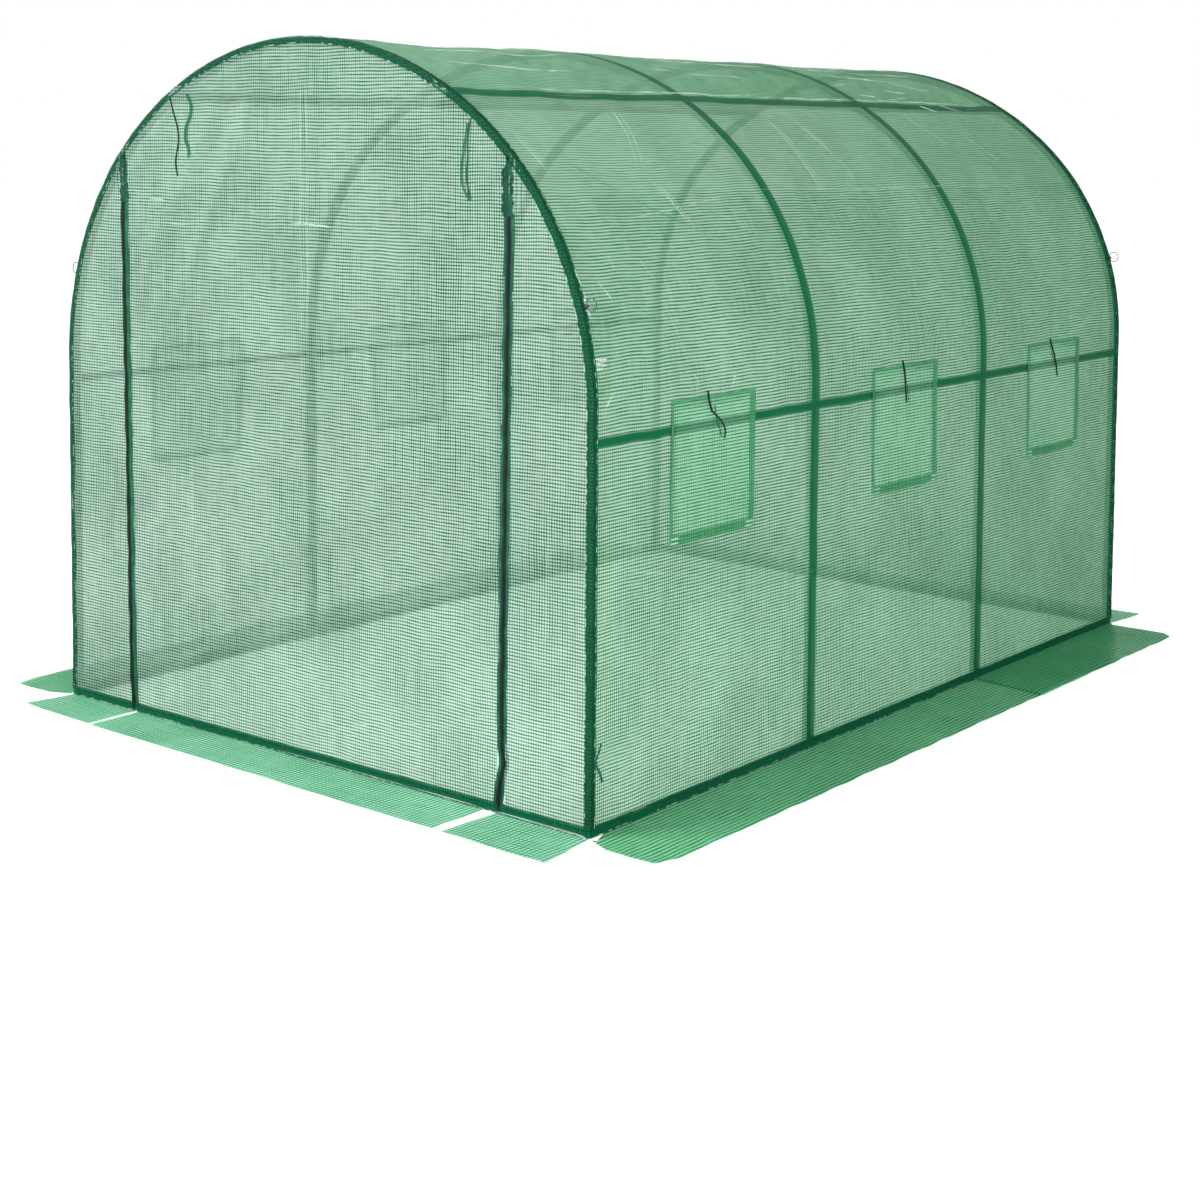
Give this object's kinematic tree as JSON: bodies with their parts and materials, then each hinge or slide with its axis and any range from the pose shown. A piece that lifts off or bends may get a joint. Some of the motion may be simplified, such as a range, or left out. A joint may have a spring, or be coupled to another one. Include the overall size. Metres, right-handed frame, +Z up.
{
  "type": "polytunnel greenhouse",
  "caption": "Walk-in polytunnel greenhouse: a dark green tube frame of round hoops under a translucent green grid cover, with a zipped door and windows closed by flaps.",
  "frame": {"origin": "on the ground, under the middle of the tunnel", "axes": "+X across the tunnel to the right seen from the door, +Y from the door end to the rear, +Z up"},
  "size_m": [2.5214, 3.3094, 1.9487],
  "materials": {
    "coated_tube": "satin",
    "socket_steel": "satin",
    "cover_film": "satin",
    "window_net": "matte",
    "zip_tape": "matte",
    "tie_cord": "matte",
    "ring_steel": "brushed",
    "black_plastic": "matte"
  },
  "bodies": {
    "root": {"base_rails_left": "coated_tube", "base_rails_right": "coated_tube", "corner_buttons": "black_plastic", "corner_rings": "ring_steel", "door_base_tube": "coated_tube", "door_end_arch": "cover_film", "door_end_skirt_left": "cover_film", "door_end_skirt_right": "cover_film", "door_end_strip_left": "cover_film", "door_end_strip_right": "cover_film", "door_panel": "cover_film", "door_skirt": "cover_film", "haunch_cover_left": "cover_film", "haunch_cover_right": "cover_film", "hoop_1_arch": "coated_tube", "hoop_1_posts": "coated_tube", "hoop_1_sockets": "socket_steel", "hoop_2_arch": "coated_tube", "hoop_2_posts": "coated_tube", "hoop_2_sockets": "socket_steel", "hoop_3_arch": "coated_tube", "hoop_3_posts": "coated_tube", "hoop_3_sockets": "socket_steel", "hoop_4_arch": "coated_tube", "hoop_4_posts": "coated_tube", "hoop_4_sockets": "socket_steel", "rear_base_tube": "coated_tube", "rear_end_wall": "cover_film", "rear_skirt": "cover_film", "roof_cover": "cover_film", "roof_rails_left": "coated_tube", "roof_rails_right": "coated_tube", "side_cover_left": "cover_film", "side_cover_right": "cover_film", "side_rails_left": "coated_tube", "side_rails_right": "coated_tube", "side_skirt_left": "cover_film", "side_skirt_right": "cover_film", "tie_door_left_inner": "tie_cord", "tie_door_left_outer": "tie_cord", "tie_door_right_inner": "tie_cord", "tie_door_right_outer": "tie_cord", "tie_window_left_1": "tie_cord", "tie_window_left_2": "tie_cord", "tie_window_left_3": "tie_cord", "tie_window_right_1": "tie_cord", "tie_window_right_2": "tie_cord", "tie_window_right_3": "tie_cord", "window_flaps_left": "cover_film", "window_flaps_right": "cover_film", "window_nets_left": "window_net", "window_nets_right": "window_net", "zip_left": "zip_tape", "zip_right": "zip_tape"}
  },
  "joints": []
}
